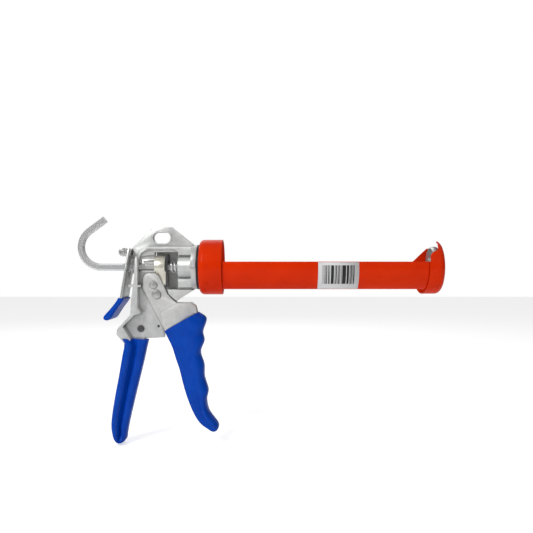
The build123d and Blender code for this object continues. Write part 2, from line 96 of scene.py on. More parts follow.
@dataclass(frozen=True)
class Finish:
    """A surface: one shader with grain in its colour, roughness and height.

    The grain is two noises on the object's own coordinates: a coarse one that shifts the colour
    and a fine one that roughens the surface.
    """

    name: str
    slot: str
    colour: tuple[float, float, float]
    shade: tuple[float, float, float]
    metallic: float = 0.0
    roughness: float = 0.4
    roughness_swing: float = 0.08
    coat: float = 0.0
    coat_roughness: float = 0.1
    specular: float = 0.5
    patch_size: float = 12.0
    grain_size: float = 0.6
    grain_stretch: tuple[float, float, float] = (1.0, 1.0, 1.0)
    bump_height: float = 0.02
    edge_wear: float = 0.0
    # painted shade: the next two fields darken corners and recesses, the first how much, the second how far
    # the occlusion reaches in millimetres
    corner_shade: float = 0.0
    corner_shade_reach: float = 2.5

    def build(self) -> bpy.types.Material:
        """Make the material.

        Returns:
            The node material, ready for a slot.
        """
        material = bpy.data.materials.new(self.name)
        material.use_nodes = True
        tree = material.node_tree
        shader = tree.nodes["Principled BSDF"]
        shader.inputs["Metallic"].default_value = self.metallic
        shader.inputs["Specular IOR Level"].default_value = self.specular
        shader.inputs["Coat Weight"].default_value = self.coat
        shader.inputs["Coat Roughness"].default_value = self.coat_roughness
        place = tree.nodes.new("ShaderNodeTexCoord").outputs["Object"]
        patches = noise(tree, place, self.patch_size, 3.0)
        grain = noise(tree, stretched(tree, place, self.grain_stretch), self.grain_size, 4.0)
        tint = blended(tree, ramp(tree, patches, 0.35, 0.68), self.shade, self.colour)
        tint = self.worn(tree, tint, grain)
        # painted shade in corners and recesses
        tint = self.shaded_corners(tree, tint)
        tree.links.new(tint, shader.inputs["Base Color"])
        low = self.roughness - self.roughness_swing
        high = self.roughness + self.roughness_swing
        tree.links.new(spread(tree, grain, low, high), shader.inputs["Roughness"])
        tree.links.new(bumped(tree, grain, self.bump_height), shader.inputs["Normal"])
        return material

    def shaded_corners(self, tree: bpy.types.NodeTree, tint: bpy.types.NodeSocket) -> bpy.types.NodeSocket:
        """Paint shade into the colour in corners and recesses, found by an ambient occlusion node.

        Args:
            tree: The material's nodes.
            tint: The colour so far.

        Returns:
            The colour with dark corners.
        """
        if self.corner_shade <= 0:
            return tint
        corner = tree.nodes.new("ShaderNodeAmbientOcclusion")
        corner.samples = 12
        corner.inputs["Distance"].default_value = self.corner_shade_reach * MM
        mask = mapped(tree, corner.outputs["AO"], (0.45, 0.95), (self.corner_shade, 0.0))
        # painted shade: corners go towards a tenth of the surface colour
        return covered(tree, mask, tint, tuple(channel * 0.10 for channel in self.colour))

    def worn(
        self, tree: bpy.types.NodeTree, tint: bpy.types.NodeSocket, grain: bpy.types.NodeSocket
    ) -> bpy.types.NodeSocket:
        """Lighten the colour with fine specks, as grit and handling leave them.

        Args:
            tree: The material's nodes.
            tint: The colour so far.
            grain: The fine noise.

        Returns:
            The colour with its specks.
        """
        if self.edge_wear <= 0:
            return tint
        light = tuple(min(1.0, channel * 1.25 + 0.02) for channel in self.colour)
        mask = spread(tree, ramp(tree, grain, 0.52, 0.74), 0.0, self.edge_wear)
        return covered(tree, mask, tint, light)


@dataclass(frozen=True)
class StickerPaper(Finish):
    """White paper with meaningless dark bars along the middle."""

    bar_low: float = -0.012
    bar_high: float = 0.0
    bar_left: float = 0.0
    bar_right: float = 0.04
    ink: tuple[float, float, float] = (0.012, 0.012, 0.014)

    def worn(
        self, tree: bpy.types.NodeTree, tint: bpy.types.NodeSocket, grain: bpy.types.NodeSocket
    ) -> bpy.types.NodeSocket:
        """Print bars of uneven width over the paper.

        Args:
            tree: The material's nodes.
            tint: The paper's colour.
            grain: The fine noise, unused by the print.

        Returns:
            The printed colour.
        """
        place = tree.nodes.new("ShaderNodeTexCoord").outputs["Object"]
        parts = tree.nodes.new("ShaderNodeSeparateXYZ")
        tree.links.new(place, parts.inputs["Vector"])
        along = stretched(tree, place, (1.0, 0.0, 0.0))
        bars = ramp(tree, noise(tree, along, 0.9, 0.0), 0.475, 0.485)
        inside = product(
            tree,
            between(tree, parts.outputs["Z"], self.bar_low, self.bar_high),
            between(tree, parts.outputs["X"], self.bar_left, self.bar_right),
        )
        return covered(tree, product(tree, bars, inside), tint, self.ink)


def covered(
    tree: bpy.types.NodeTree, mask: bpy.types.NodeSocket, under: bpy.types.NodeSocket,
    colour: tuple[float, ...],
) -> bpy.types.NodeSocket:
    """Lay one colour over another.

    Args:
        tree: The material's nodes.
        mask: 0 where the lower colour shows, 1 where the upper one does.
        under: The lower colour.
        colour: The upper colour.

    Returns:
        The mixed colour.
    """
    mix = tree.nodes.new("ShaderNodeMix")
    mix.data_type = "RGBA"
    tree.links.new(mask, mix.inputs["Factor"])
    tree.links.new(under, mix.inputs["A"])
    mix.inputs["B"].default_value = (*colour, 1.0)
    return mix.outputs["Result"]


def noise(
    tree: bpy.types.NodeTree, vector: bpy.types.NodeSocket, size_mm: float, detail: float
) -> bpy.types.NodeSocket:
    """Add a noise whose blotches are about size_mm across.

    Args:
        tree: The material's nodes.
        vector: Where it is read.
        size_mm: Size of a blotch in millimetres.
        detail: Octaves of finer noise.

    Returns:
        The noise's value.
    """
    node = tree.nodes.new("ShaderNodeTexNoise")
    node.inputs["Scale"].default_value = 1.0 / (size_mm * MM)
    node.inputs["Detail"].default_value = detail
    tree.links.new(vector, node.inputs["Vector"])
    return node.outputs["Fac"]


def stretched(
    tree: bpy.types.NodeTree, vector: bpy.types.NodeSocket, scale: tuple[float, float, float]
) -> bpy.types.NodeSocket:
    """Scale coordinates along each axis.

    Args:
        tree: The material's nodes.
        vector: The coordinates.
        scale: Factor along X, Y and Z.

    Returns:
        The scaled coordinates.
    """
    node = tree.nodes.new("ShaderNodeMapping")
    node.inputs["Scale"].default_value = scale
    tree.links.new(vector, node.inputs["Vector"])
    return node.outputs["Vector"]


def ramp(
    tree: bpy.types.NodeTree, value: bpy.types.NodeSocket, low: float, high: float
) -> bpy.types.NodeSocket:
    """Sharpen a value to 0 below low and 1 above high.

    Args:
        tree: The material's nodes.
        value: The value.
        low: Where the rise starts.
        high: Where the rise ends.

    Returns:
        The sharpened value.
    """
    return mapped(tree, value, (low, high), (0.0, 1.0))


def spread(
    tree: bpy.types.NodeTree, value: bpy.types.NodeSocket, low: float, high: float
) -> bpy.types.NodeSocket:
    """Map a noise onto low to high.

    Args:
        tree: The material's nodes.
        value: The value, 0 to 1.
        low: Result at 0.
        high: Result at 1.

    Returns:
        The mapped value.
    """
    return mapped(tree, value, (0.0, 1.0), (low, high))


def mapped(
    tree: bpy.types.NodeTree,
    value: bpy.types.NodeSocket,
    source: tuple[float, float],
    target: tuple[float, float],
) -> bpy.types.NodeSocket:
    """Map one range onto another, clamped.

    Args:
        tree: The material's nodes.
        value: The value.
        source: Its range.
        target: The range of the result.

    Returns:
        The mapped value.
    """
    node = tree.nodes.new("ShaderNodeMapRange")
    node.inputs["From Min"].default_value = source[0]
    node.inputs["From Max"].default_value = source[1]
    node.inputs["To Min"].default_value = target[0]
    node.inputs["To Max"].default_value = target[1]
    tree.links.new(value, node.inputs["Value"])
    return node.outputs["Result"]


def product(
    tree: bpy.types.NodeTree, first: bpy.types.NodeSocket, second: bpy.types.NodeSocket
) -> bpy.types.NodeSocket:
    """Multiply two values.

    Args:
        tree: The material's nodes.
        first: One value.
        second: The other value.

    Returns:
        Their product.
    """
    node = tree.nodes.new("ShaderNodeMath")
    node.operation = "MULTIPLY"
    tree.links.new(first, node.inputs[0])
    tree.links.new(second, node.inputs[1])
    return node.outputs["Value"]


def between(
    tree: bpy.types.NodeTree, value: bpy.types.NodeSocket, low: float, high: float
) -> bpy.types.NodeSocket:
    """1 where a value lies between two limits, else 0.

    Args:
        tree: The material's nodes.
        value: The value.
        low: The lower limit.
        high: The upper limit.

    Returns:
        The mask.
    """
    edge = 0.1 * MM
    rising = mapped(tree, value, (low, low + edge), (0.0, 1.0))
    falling = mapped(tree, value, (high - edge, high), (1.0, 0.0))
    return product(tree, rising, falling)


def blended(
    tree: bpy.types.NodeTree,
    factor: bpy.types.NodeSocket,
    first: tuple[float, float, float],
    second: tuple[float, float, float],
) -> bpy.types.NodeSocket:
    """Mix two colours.

    Args:
        tree: The material's nodes.
        factor: 0 gives the first colour.
        first: One colour.
        second: The other colour.

    Returns:
        The mixed colour.
    """
    mix = tree.nodes.new("ShaderNodeMix")
    mix.data_type = "RGBA"
    tree.links.new(factor, mix.inputs["Factor"])
    mix.inputs["A"].default_value = (*first, 1.0)
    mix.inputs["B"].default_value = (*second, 1.0)
    return mix.outputs["Result"]


def bumped(
    tree: bpy.types.NodeTree, height: bpy.types.NodeSocket, height_mm: float
) -> bpy.types.NodeSocket:
    """Turn a value into surface relief.

    Args:
        tree: The material's nodes.
        height: The value, 0 to 1.
        height_mm: Relief in millimetres.

    Returns:
        The bent normal.
    """
    node = tree.nodes.new("ShaderNodeBump")
    node.inputs["Distance"].default_value = height_mm * MM
    tree.links.new(height, node.inputs["Height"])
    return node.outputs["Normal"]


CAST_ALUMINIUM = Finish(
    "cast_aluminium", "casting", (0.72, 0.73, 0.72), (0.62, 0.63, 0.62), metallic=0.45, roughness=0.45,
    roughness_swing=0.10, patch_size=7.0, grain_size=0.9, bump_height=0.10, edge_wear=0.5,
    # painted shade in corners and recesses
    corner_shade=0.65, corner_shade_reach=3.5,
)
PRESSED_STEEL = Finish(
    "pressed_steel", "fork_steel", (0.76, 0.76, 0.75), (0.66, 0.66, 0.65), metallic=0.45, roughness=0.42,
    roughness_swing=0.10, patch_size=6.0, grain_size=0.8, bump_height=0.06, edge_wear=0.4,
    # painted shade in corners and recesses
    corner_shade=0.85, corner_shade_reach=1.6,
)
ORANGE_ENAMEL = Finish(
    "orange_enamel", "orange_paint", (0.86, 0.036, 0.0003), (0.78, 0.028, 0.0003), roughness=0.30,
    roughness_swing=0.05, specular=0.06, coat=0.07, coat_roughness=0.05, patch_size=30.0, grain_size=2.2,
    bump_height=0.03,
    # painted shade in corners and recesses
    corner_shade=0.55, corner_shade_reach=1.4,
)
BLUE_VINYL = Finish(
    "blue_vinyl", "blue_vinyl", (0.001, 0.072, 0.52), (0.001, 0.058, 0.45), roughness=0.34,
    roughness_swing=0.05, specular=0.06, coat=0.12, coat_roughness=0.05, patch_size=14.0, grain_size=1.4,
    bump_height=0.03,
)
BRIGHT_ZINC = Finish(
    "bright_zinc", "zinc_rod", (0.96, 0.96, 0.96), (0.90, 0.90, 0.91), metallic=0.6, roughness=0.17,
    roughness_swing=0.02, patch_size=45.0, grain_size=9.0, bump_height=0.0005,
)
PLATED_STEEL = Finish(
    "plated_steel", "zinc_plate", (0.72, 0.73, 0.71), (0.58, 0.59, 0.57), metallic=0.9, roughness=0.34,
    roughness_swing=0.08, patch_size=4.0, grain_size=0.5, bump_height=0.03, edge_wear=0.3,
)
WARM_NICKEL = Finish(
    "warm_nickel", "nickel_block", (0.92, 0.90, 0.79), (0.84, 0.81, 0.68), metallic=0.7, roughness=0.32,
    roughness_swing=0.08, patch_size=4.0, grain_size=0.5, bump_height=0.02, edge_wear=0.3,
)
HARD_STEEL = Finish(
    "hard_steel", "dark_steel", (0.16, 0.16, 0.165), (0.10, 0.10, 0.105), metallic=0.8, roughness=0.38,
    roughness_swing=0.1, patch_size=3.0, grain_size=0.4, bump_height=0.02, edge_wear=0.3,
)
BLACK_NYLON = Finish(
    "black_nylon", "black_washer", (0.012, 0.012, 0.013), (0.008, 0.008, 0.009), roughness=0.5,
    roughness_swing=0.08, patch_size=5.0, grain_size=0.5, bump_height=0.02,
)


# ---------------------------------------------------------------------------------------------
# modelling
# ---------------------------------------------------------------------------------------------


def deselect() -> None:
    """Deselect every object."""
    bpy.ops.object.select_all(action="DESELECT")


def activate(piece: bpy.types.Object) -> None:
    """Make one object the only selected and the active one."""
    deselect()
    piece.select_set(True)
    bpy.context.view_layer.objects.active = piece


def settle(piece: bpy.types.Object, name: str) -> bpy.types.Object:
    """Name a new object and put its place into its mesh.

    Args:
        piece: The object.
        name: Its name.

    Returns:
        The same object, at the origin.
    """
    piece.name = name
    activate(piece)
    bpy.ops.object.transform_apply(location=True, rotation=True, scale=True)
    return piece


def modify(piece: bpy.types.Object, kind: str, **settings: object) -> None:
    """Add a modifier to an object and apply it.

    Args:
        piece: The object.
        kind: The modifier's type.
        settings: Its values by name.
    """
    activate(piece)
    modifier = piece.modifiers.new(kind.lower(), kind)
    for key, value in settings.items():
        setattr(modifier, key, value)
    bpy.ops.object.modifier_apply(modifier=modifier.name)


def smooth(piece: bpy.types.Object, degrees: float = 35.0) -> None:
    """Shade an object smooth, apart from edges sharper than an angle."""
    activate(piece)
    bpy.ops.object.shade_smooth_by_angle(angle=math.radians(degrees))


def merged_copy(node: str, name: str, flat_degrees: float = 1.0) -> bpy.types.Object:
    """Copy a CAD node's mesh into a new object with its triangles merged to faces.

    Args:
        node: The node's name.
        name: The new object's name.
        flat_degrees: Faces that meet at less than this become one; 0 keeps every triangle.

    Returns:
        The new object.
    """
    piece = bpy.data.objects.new(name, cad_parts[node].data.copy())
    bpy.context.scene.collection.objects.link(piece)
    piece.data.materials.clear()
    activate(piece)
    bpy.ops.object.mode_set(mode="EDIT")
    bpy.ops.mesh.select_all(action="SELECT")
    bpy.ops.mesh.remove_doubles(threshold=2e-6)
    bpy.ops.mesh.customdata_custom_splitnormals_clear()
    if flat_degrees > 0.0:
        bpy.ops.mesh.dissolve_limited(angle_limit=math.radians(flat_degrees))
    bpy.ops.object.mode_set(mode="OBJECT")
    return piece


def softened(
    node: str, name: str, edge_mm: float, segments: int = 2, angle: float = 32.0
) -> bpy.types.Object:
    """Copy a CAD node and round its sharp edges.

    Args:
        node: The node's name.
        name: The new object's name.
        edge_mm: Width of the rounding.
        segments: Faces across it.
        angle: Edges sharper than this are rounded, in degrees.

    Returns:
        The new object.
    """
    piece = merged_copy(node, name)
    modify(
        piece, "BEVEL", width=edge_mm * MM, segments=segments, limit_method="ANGLE",
        angle_limit=math.radians(angle), use_clamp_overlap=True, harden_normals=False,
    )
    smooth(piece, 40.0)
    return piece


def dress(
    piece: bpy.types.Object, finish: Finish, body: Body, replaced: Sequence[str] = ()
) -> bpy.types.Object:
    """Give a new piece its finish, its body and the CAD nodes that it stands for.

    Args:
        piece: The finished object.
        finish: Its surface.
        body: The body that it rides on.
        replaced: CAD nodes that it stands for.

    Returns:
        The same object.
    """
    piece.data.materials.clear()
    piece.data.materials.append(Wardrobe.material(finish))
    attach(piece, body.value)
    if replaced:
        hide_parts(*replaced)
    log.info("piece %s: %d faces, rides on %s", piece.name, len(piece.data.polygons), body.value)
    return piece


def finish_node(node: str, finish: Finish) -> None:
    """Give a CAD node that stays its finish.

    Args:
        node: The node's name.
        finish: Its surface.
    """
    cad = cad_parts[node]
    if not cad.material_slots:
        cad.data.materials.append(None)
    for place in cad.material_slots:
        place.material = Wardrobe.material(finish)
    log.info("node %s: %s", node, finish.name)


class Wardrobe:
    """The materials made so far, one for each finish."""

    made: dict[str, bpy.types.Material] = {}

    @classmethod
    def material(cls, finish: Finish) -> bpy.types.Material:
        """Give the finish's material, made once.

        Args:
            finish: The finish.

        Returns:
            Its material.
        """
        if finish.name not in cls.made:
            cls.made[finish.name] = finish.build()
        return cls.made[finish.name]


Line = tuple[tuple[float, float], ...]  # points of an outline, X and Z in millimetres
TIP_FULLNESS = 2.5  # 2 rounds a loft's end off as an ellipse, more makes it blunter
TIP_BULGES = (0.4, 0.72, 0.92, 0.99)  # where the sections that round an end off lie, 1 at the tip


@dataclass(frozen=True)
class Station:
    """One cross-section of a loft: a line from a back point to a front point, and a half width.

    fill is 0 for the full section with its grooves and 1 where they have run out.
    """

    back: tuple[float, float]
    front: tuple[float, float]
    half_width: float
    fill: float = 0.0

    @property
    def centre(self) -> Vector:
        """The middle of the section."""
        return Vector(((self.back[0] + self.front[0]) / 2, 0.0, (self.back[1] + self.front[1]) / 2))

    @property
    def length(self) -> float:
        """How far the back point is from the front point."""
        return math.dist(self.back, self.front)

    @property
    def angle(self) -> float:
        """How far the front point is lifted above the back point, in radians."""
        return math.atan2(self.front[1] - self.back[1], self.front[0] - self.back[0])


def loft(
    name: str, stations: Sequence[Station], profile: Callable[[float, float], float], sides: int
) -> bpy.types.Object:
    """Model a tube by extruding a shaped ring from station to station.

    Args:
        name: The object's name.
        stations: Cross-sections, in metres, X and Z of their ends.
        profile: Half width, 0 to 1, for a depth from 0 at the back to 1 at the front and a fill.
        sides: Points in the ring, a multiple of 4, so that they pair up across the middle plane.

    Returns:
        The closed object.
    """
    deselect()
    bpy.ops.mesh.primitive_circle_add(
        vertices=sides, radius=0.5, fill_type="NGON", rotation=(0.0, 0.0, math.pi / sides),
    )
    piece = settle(bpy.context.object, name)
    bpy.ops.object.mode_set(mode="EDIT")
    bpy.ops.mesh.select_all(action="SELECT")
    level = Station((-0.5, 0.0), (0.5, 0.0), 1.0)
    move_ring(level, stations[0], profile, True)
    for previous, station in zip(stations, stations[1:]):
        bpy.ops.mesh.extrude_region_move()
        move_ring(previous, station, profile, station.fill != previous.fill)
    bpy.ops.mesh.select_all(action="SELECT")
    bpy.ops.mesh.normals_make_consistent(inside=False)
    bpy.ops.object.mode_set(mode="OBJECT")
    return piece


def move_ring(
    previous: Station, station: Station, profile: Callable[[float, float], float], reshape: bool
) -> None:
    """Bring the selected ring from one station to the next.

    Args:
        previous: Where the ring is.
        station: Where it goes.
        profile: Half width, 0 to 1, for a depth and a fill.
        reshape: Whether its section changes too, and not only its size.
    """
    centre = previous.centre
    turn_ring(-previous.angle, centre)
    grow = (station.length / previous.length, station.half_width / previous.half_width, 1.0)
    bpy.ops.transform.resize(value=grow, center_override=centre)
    if reshape:
        shape_ring(centre, station, profile)
    turn_ring(station.angle, centre)
    bpy.ops.transform.translate(value=station.centre - centre)


def turn_ring(angle: float, centre: Vector) -> None:
    """Turn the selected ring about Y, so that a positive angle lifts its front."""
    bpy.ops.transform.rotate(value=angle, orient_axis="Y", center_override=centre)


def shape_ring(centre: Vector, station: Station, profile: Callable[[float, float], float]) -> None:
    """Give the selected level ring its width at each depth, one pair of points at a time.

    Args:
        centre: The ring's middle.
        station: The station whose length, width and fill it takes.
        profile: Half width, 0 to 1, for a depth and a fill.
    """
    mesh = bmesh.from_edit_mesh(bpy.context.edit_object.data)
    ring = sorted((point.co.x, abs(point.co.y), point.index) for point in mesh.verts if point.select)
    for (x, width, first), (_, _, second) in zip(ring[::2], ring[1::2]):
        depth = (x - centre.x) / station.length + 0.5
        select_points({first, second})
        grow = profile(depth, station.fill) * station.half_width / width
        bpy.ops.transform.resize(value=(1.0, grow, 1.0), center_override=centre)
    select_points({index for _, _, index in ring})


def select_points(numbers: set[int]) -> None:
    """Select some points of the mesh in edit mode, and nothing else.

    Args:
        numbers: The points' numbers.
    """
    bpy.ops.mesh.select_all(action="DESELECT")
    data = bpy.context.edit_object.data
    mesh = bmesh.from_edit_mesh(data)
    for point in mesh.verts:
        point.select = point.index in numbers
    mesh.select_flush_mode()
    bmesh.update_edit_mesh(data, loop_triangles=False, destructive=False)


def tip_station(last: Station, run: tuple[float, float], bulge: float, kept_width: float) -> Station:
    """A shrinking section that rounds off the end of a loft.

    Args:
        last: The last full section.
        run: From that section's middle to the tip.
        bulge: 0 at the last section, 1 at the tip.
        kept_width: Share of the width that is left at the tip.

    Returns:
        The section.
    """
    shrink = (1.0 - bulge ** TIP_FULLNESS) ** (1.0 / TIP_FULLNESS)
    middle = ((last.back[0] + last.front[0]) / 2, (last.back[1] + last.front[1]) / 2)
    centre = (middle[0] + run[0] * bulge, middle[1] + run[1] * bulge)
    reach = ((last.front[0] - last.back[0]) / 2 * shrink, (last.front[1] - last.back[1]) / 2 * shrink)
    return Station(
        (centre[0] - reach[0], centre[1] - reach[1]),
        (centre[0] + reach[0], centre[1] + reach[1]),
        last.half_width * (kept_width + (1.0 - kept_width) * shrink),
        bulge,
    )


def even_shares(steps: int) -> list[float]:
    """Shares from 0 to 1, with one more close to the start that keeps the mouth's edge crisp."""
    return [0.0, 0.15 / steps] + [step / steps for step in range(1, steps + 1)]


def crown(depth: float, middle: float, reach: float, squareness: float) -> float:
    """Half width of a rounded bar in a section.

    Args:
        depth: Where it is read.
        middle: The bar's middle.
        reach: Half its depth.
        squareness: 1 for an ellipse, towards 0 for a box with rounded corners.

    Returns:
        0 outside the bar, up to 1 inside.
    """
    share = (depth - middle) / reach
    return math.sqrt(1.0 - share * share) ** squareness if abs(share) < 1.0 else 0.0


def eased(points: Sequence[tuple[float, float]], share: float) -> tuple[float, float]:
    """A point on a smooth curve through some points.

    Args:
        points: The points, evenly spaced in share.
        share: 0 at the first and 1 at the last.

    Returns:
        The point on the Catmull-Rom curve.
    """
    spans = len(points) - 1
    place = min(max(share, 0.0), 1.0) * spans
    index = min(int(place), spans - 1)
    t = place - index
    before = points[max(index - 1, 0)]
    start, end = points[index], points[index + 1]
    after = points[min(index + 2, spans)]
    result = []
    for axis in range(2):
        a, b, c, d = before[axis], start[axis], end[axis], after[axis]
        value = 2 * b + (c - a) * t + (2 * a - 5 * b + 4 * c - d) * t * t
        result.append((value + (3 * b - a - 3 * c + d) * t ** 3) / 2)
    return result[0], result[1]


# ---------------------------------------------------------------------------------------------
# sub-assemblies
# ---------------------------------------------------------------------------------------------


@dataclass
class Casting:
    """The die-cast frame with its pins, washer and ring."""

    edge_mm: float = 0.55
    return_spring_keep: float = 0.56
    release_spring_keep: float = 0.68

    def build(self) -> None:
        """Model the cast body and dress the parts fixed to it."""
        body = softened("body_casting", "cast_frame", self.edge_mm)
        dress(body, CAST_ALUMINIUM, Body.FRAME, ["body_casting"])
        for node, edge in (("trigger_pivot_pin", 0.35), ("lever_pivot_pin", 0.25), ("stop_pin", 0.3)):
            finish = HARD_STEEL if node == "stop_pin" else PLATED_STEEL
            dress(softened(node, f"{node}_turned", edge, 3), finish, Body.FRAME, [node])
        finish_node("swivel_washer", BLACK_NYLON)
        finish_node("hub_ring", HARD_STEEL)
        self.spring("return_spring")
        self.spring("release_spring")

    def spring(self, node: str) -> None:
        """Copy a spring into a smooth coil with its own mesh, on the frame.

        Args:
            node: The CAD spring.
        """
        coil = merged_copy(node, f"{node}_coil")
        smooth(coil, 60.0)
        dress(coil, BRIGHT_ZINC, Body.FRAME, [node])
        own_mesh(coil)


@dataclass
class FixedHandle:
    """The blue vinyl over the fixed handle's T section."""

    sides: int = 48
    steps: int = 34
    back_mm: Line = (
        (-26.2, 0.0), (-22.6, -6.0), (-24.6, -18.0), (-27.8, -37.0), (-31.4, -56.0), (-34.4, -75.0),
        (-35.2, -87.0), (-33.8, -96.0),
    )
    front_mm: Line = (
        (-0.1, -2.0), (-2.0, -10.0), (-4.6, -22.0), (-8.9, -40.0), (-13.3, -58.0), (-17.7, -77.0),
        (-19.9, -87.0), (-21.6, -96.5),
    )
    end_bulges: tuple[float, ...] = (0.35, 0.65, 0.87, 0.98)
    end_width: float = 0.7
    low: Vector = field(default_factory=lambda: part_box("handle_grip")[0])
    high: Vector = field(default_factory=lambda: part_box("handle_grip")[1])

    def at(self, x_mm: float, z_mm: float) -> tuple[float, float]:
        """A point given in millimetres from the grip's highest front corner."""
        return self.high.x + x_mm * MM, self.high.z + z_mm * MM

    def profile(self, depth: float, fill: float) -> float:
        """Half width of the T section from back to front.

        Args:
            depth: 0 at the back, 1 at the front.
            fill: 0 for the grooved section, 1 for a plain oval.

        Returns:
            Half width as a share of the widest.
        """
        flange = crown(depth, 0.20, 0.24, 0.40)
        web = 0.56 * crown(depth, 0.73, 0.28, 0.6)
        groove = 0.34 * crown(depth, 0.5, 0.51, 0.2)
        plain = crown(depth, 0.5, 0.52, 0.7)
        return max(flange, web, groove, 0.02) * (1.0 - fill) + plain * fill

    def build(self) -> None:
        """Loft the vinyl down the handle."""
        back = [self.at(*point) for point in self.back_mm]
        front = [self.at(*point) for point in self.front_mm]
        half = (self.high.y - self.low.y) / 2
        stations = []
        for share in even_shares(self.steps):
            stations.append(Station(eased(back, share), eased(front, share), half))
        last = stations[-1]
        drop = (last.front[1] + last.back[1]) / 2 - self.low.z
        for bulge in self.end_bulges:
            stations.append(tip_station(last, (0.0, -drop), bulge, self.end_width))
        grip = loft("handle_vinyl", stations, self.profile, self.sides)
        modify(grip, "SUBSURF", levels=1, render_levels=1)
        smooth(grip, 60.0)
        dress(grip, BLUE_VINYL, Body.FRAME, ["handle_grip"])


@dataclass
class Trigger:
    """The forked trigger, its drive pin and its blue vinyl."""

    sides: int = 56
    steps: int = 64
    back_mm: Line = (
        (-0.6, 99.9), (3.2, 92.2), (7.2, 84.0), (11.0, 72.0), (14.6, 61.5), (17.4, 50.0), (20.2, 40.0),
        (24.6, 27.2), (30.0, 15.6), (36.0, 7.4), (43.2, 2.2),
    )
    front_mm: Line = (
        (33.0, 118.6), (41.0, 112.0), (37.5, 99.0), (38.9, 89.8), (35.2, 78.6), (38.8, 66.2),
        (39.2, 54.0), (43.0, 41.0), (41.4, 31.4), (43.8, 20.0), (51.2, 9.6),
    )
    taper: float = 0.06
    end_run_mm: tuple[float, float] = (4.5, -4.9)
    end_width: float = 0.55
    edge_mm: float = 0.5
    slot_corner: tuple[float, float] = (14.4, 69.0)
    slot_size: Vector = field(default_factory=lambda: Vector((0.045, 0.0072, 0.060)))
    slot_lean: float = 14.5
    low: Vector = field(default_factory=lambda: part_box("trigger_grip")[0])
    high: Vector = field(default_factory=lambda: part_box("trigger_grip")[1])

    def at(self, x_mm: float, z_mm: float) -> tuple[float, float]:
        """A point given in millimetres from the grip's lowest back corner of its box."""
        return self.low.x + x_mm * MM, self.low.z + z_mm * MM

    def profile(self, depth: float, fill: float) -> float:
        """Half width of the vinyl from its flat back to the thick finger side.

        Args:
            depth: 0 at the back, 1 at the front.
            fill: 0 for flat cheeks, 1 for a plain oval.

        Returns:
            Half width as a share of the widest.
        """
        cheek = 0.68 * crown(depth, 0.45, 0.46, 0.22)
        swell = crown(depth, 0.70, 0.31, 0.75)
        plain = 0.85 * crown(depth, 0.5, 0.52, 0.7)
        return max(cheek, swell, 0.02) * (1.0 - fill) + plain * fill

    def build(self) -> None:
        """Model fork, pin and vinyl."""
        fork = softened("trigger_lever", "trigger_fork", self.edge_mm)
        dress(fork, PRESSED_STEEL, Body.TRIGGER, ["trigger_lever"])
        pin = softened("drive_pin", "drive_pin_turned", 0.35, 3)
        dress(pin, PLATED_STEEL, Body.TRIGGER, ["drive_pin"])
        self.build_vinyl()

    def build_vinyl(self) -> None:
        """Loft the vinyl down the trigger and open its back for the web."""
        back = [self.at(*point) for point in self.back_mm]
        front = [self.at(*point) for point in self.front_mm]
        half = (self.high.y - self.low.y) / 2
        stations = []
        for share in even_shares(self.steps):
            width = half * (1.0 - self.taper * share)
            stations.append(Station(eased(back, share), eased(front, share), width))
        last = stations[-1]
        run = (self.end_run_mm[0] * MM, self.end_run_mm[1] * MM)
        for bulge in TIP_BULGES:
            stations.append(tip_station(last, run, bulge, self.end_width))
        grip = loft("trigger_vinyl", stations, self.profile, self.sides)
        modify(grip, "SUBSURF", levels=1, render_levels=1)
        self.cut_slot(grip)
        smooth(grip, 60.0)
        dress(grip, BLUE_VINYL, Body.TRIGGER, ["trigger_grip"])

    def cut_slot(self, grip: bpy.types.Object) -> None:
        """Open the vinyl's back, where the casting's web enters as the trigger closes.

        Args:
            grip: The vinyl.
        """
        deselect()
        size = self.slot_size
        lean = math.radians(self.slot_lean)
        corner_x, corner_z = self.at(*self.slot_corner)
        middle = Matrix.Rotation(lean, 3, "Y") @ Vector((-size.x / 2, 0.0, size.z / 2))
        bpy.ops.mesh.primitive_cube_add(
            size=1.0, location=middle + Vector((corner_x, 0.0, corner_z)),
            rotation=(0.0, lean, 0.0), scale=size,
        )
        cutter = settle(bpy.context.object, "slot_cutter")
        modify(grip, "BOOLEAN", object=cutter, operation="DIFFERENCE", solver="EXACT")
        bpy.data.objects.remove(cutter, do_unlink=True)


@dataclass
class DriveTrain:
    """Block, key and grip plates that push the rod."""

    edge_mm: float = 0.35

    def build(self) -> None:
        """Model the moving drive parts."""
        for node, finish in (
            ("drive_block", WARM_NICKEL), ("guide_key", PLATED_STEEL), ("grip_plates", HARD_STEEL),
        ):
            dress(softened(node, f"{node}_plated", self.edge_mm), finish, Body.DRIVE, [node])


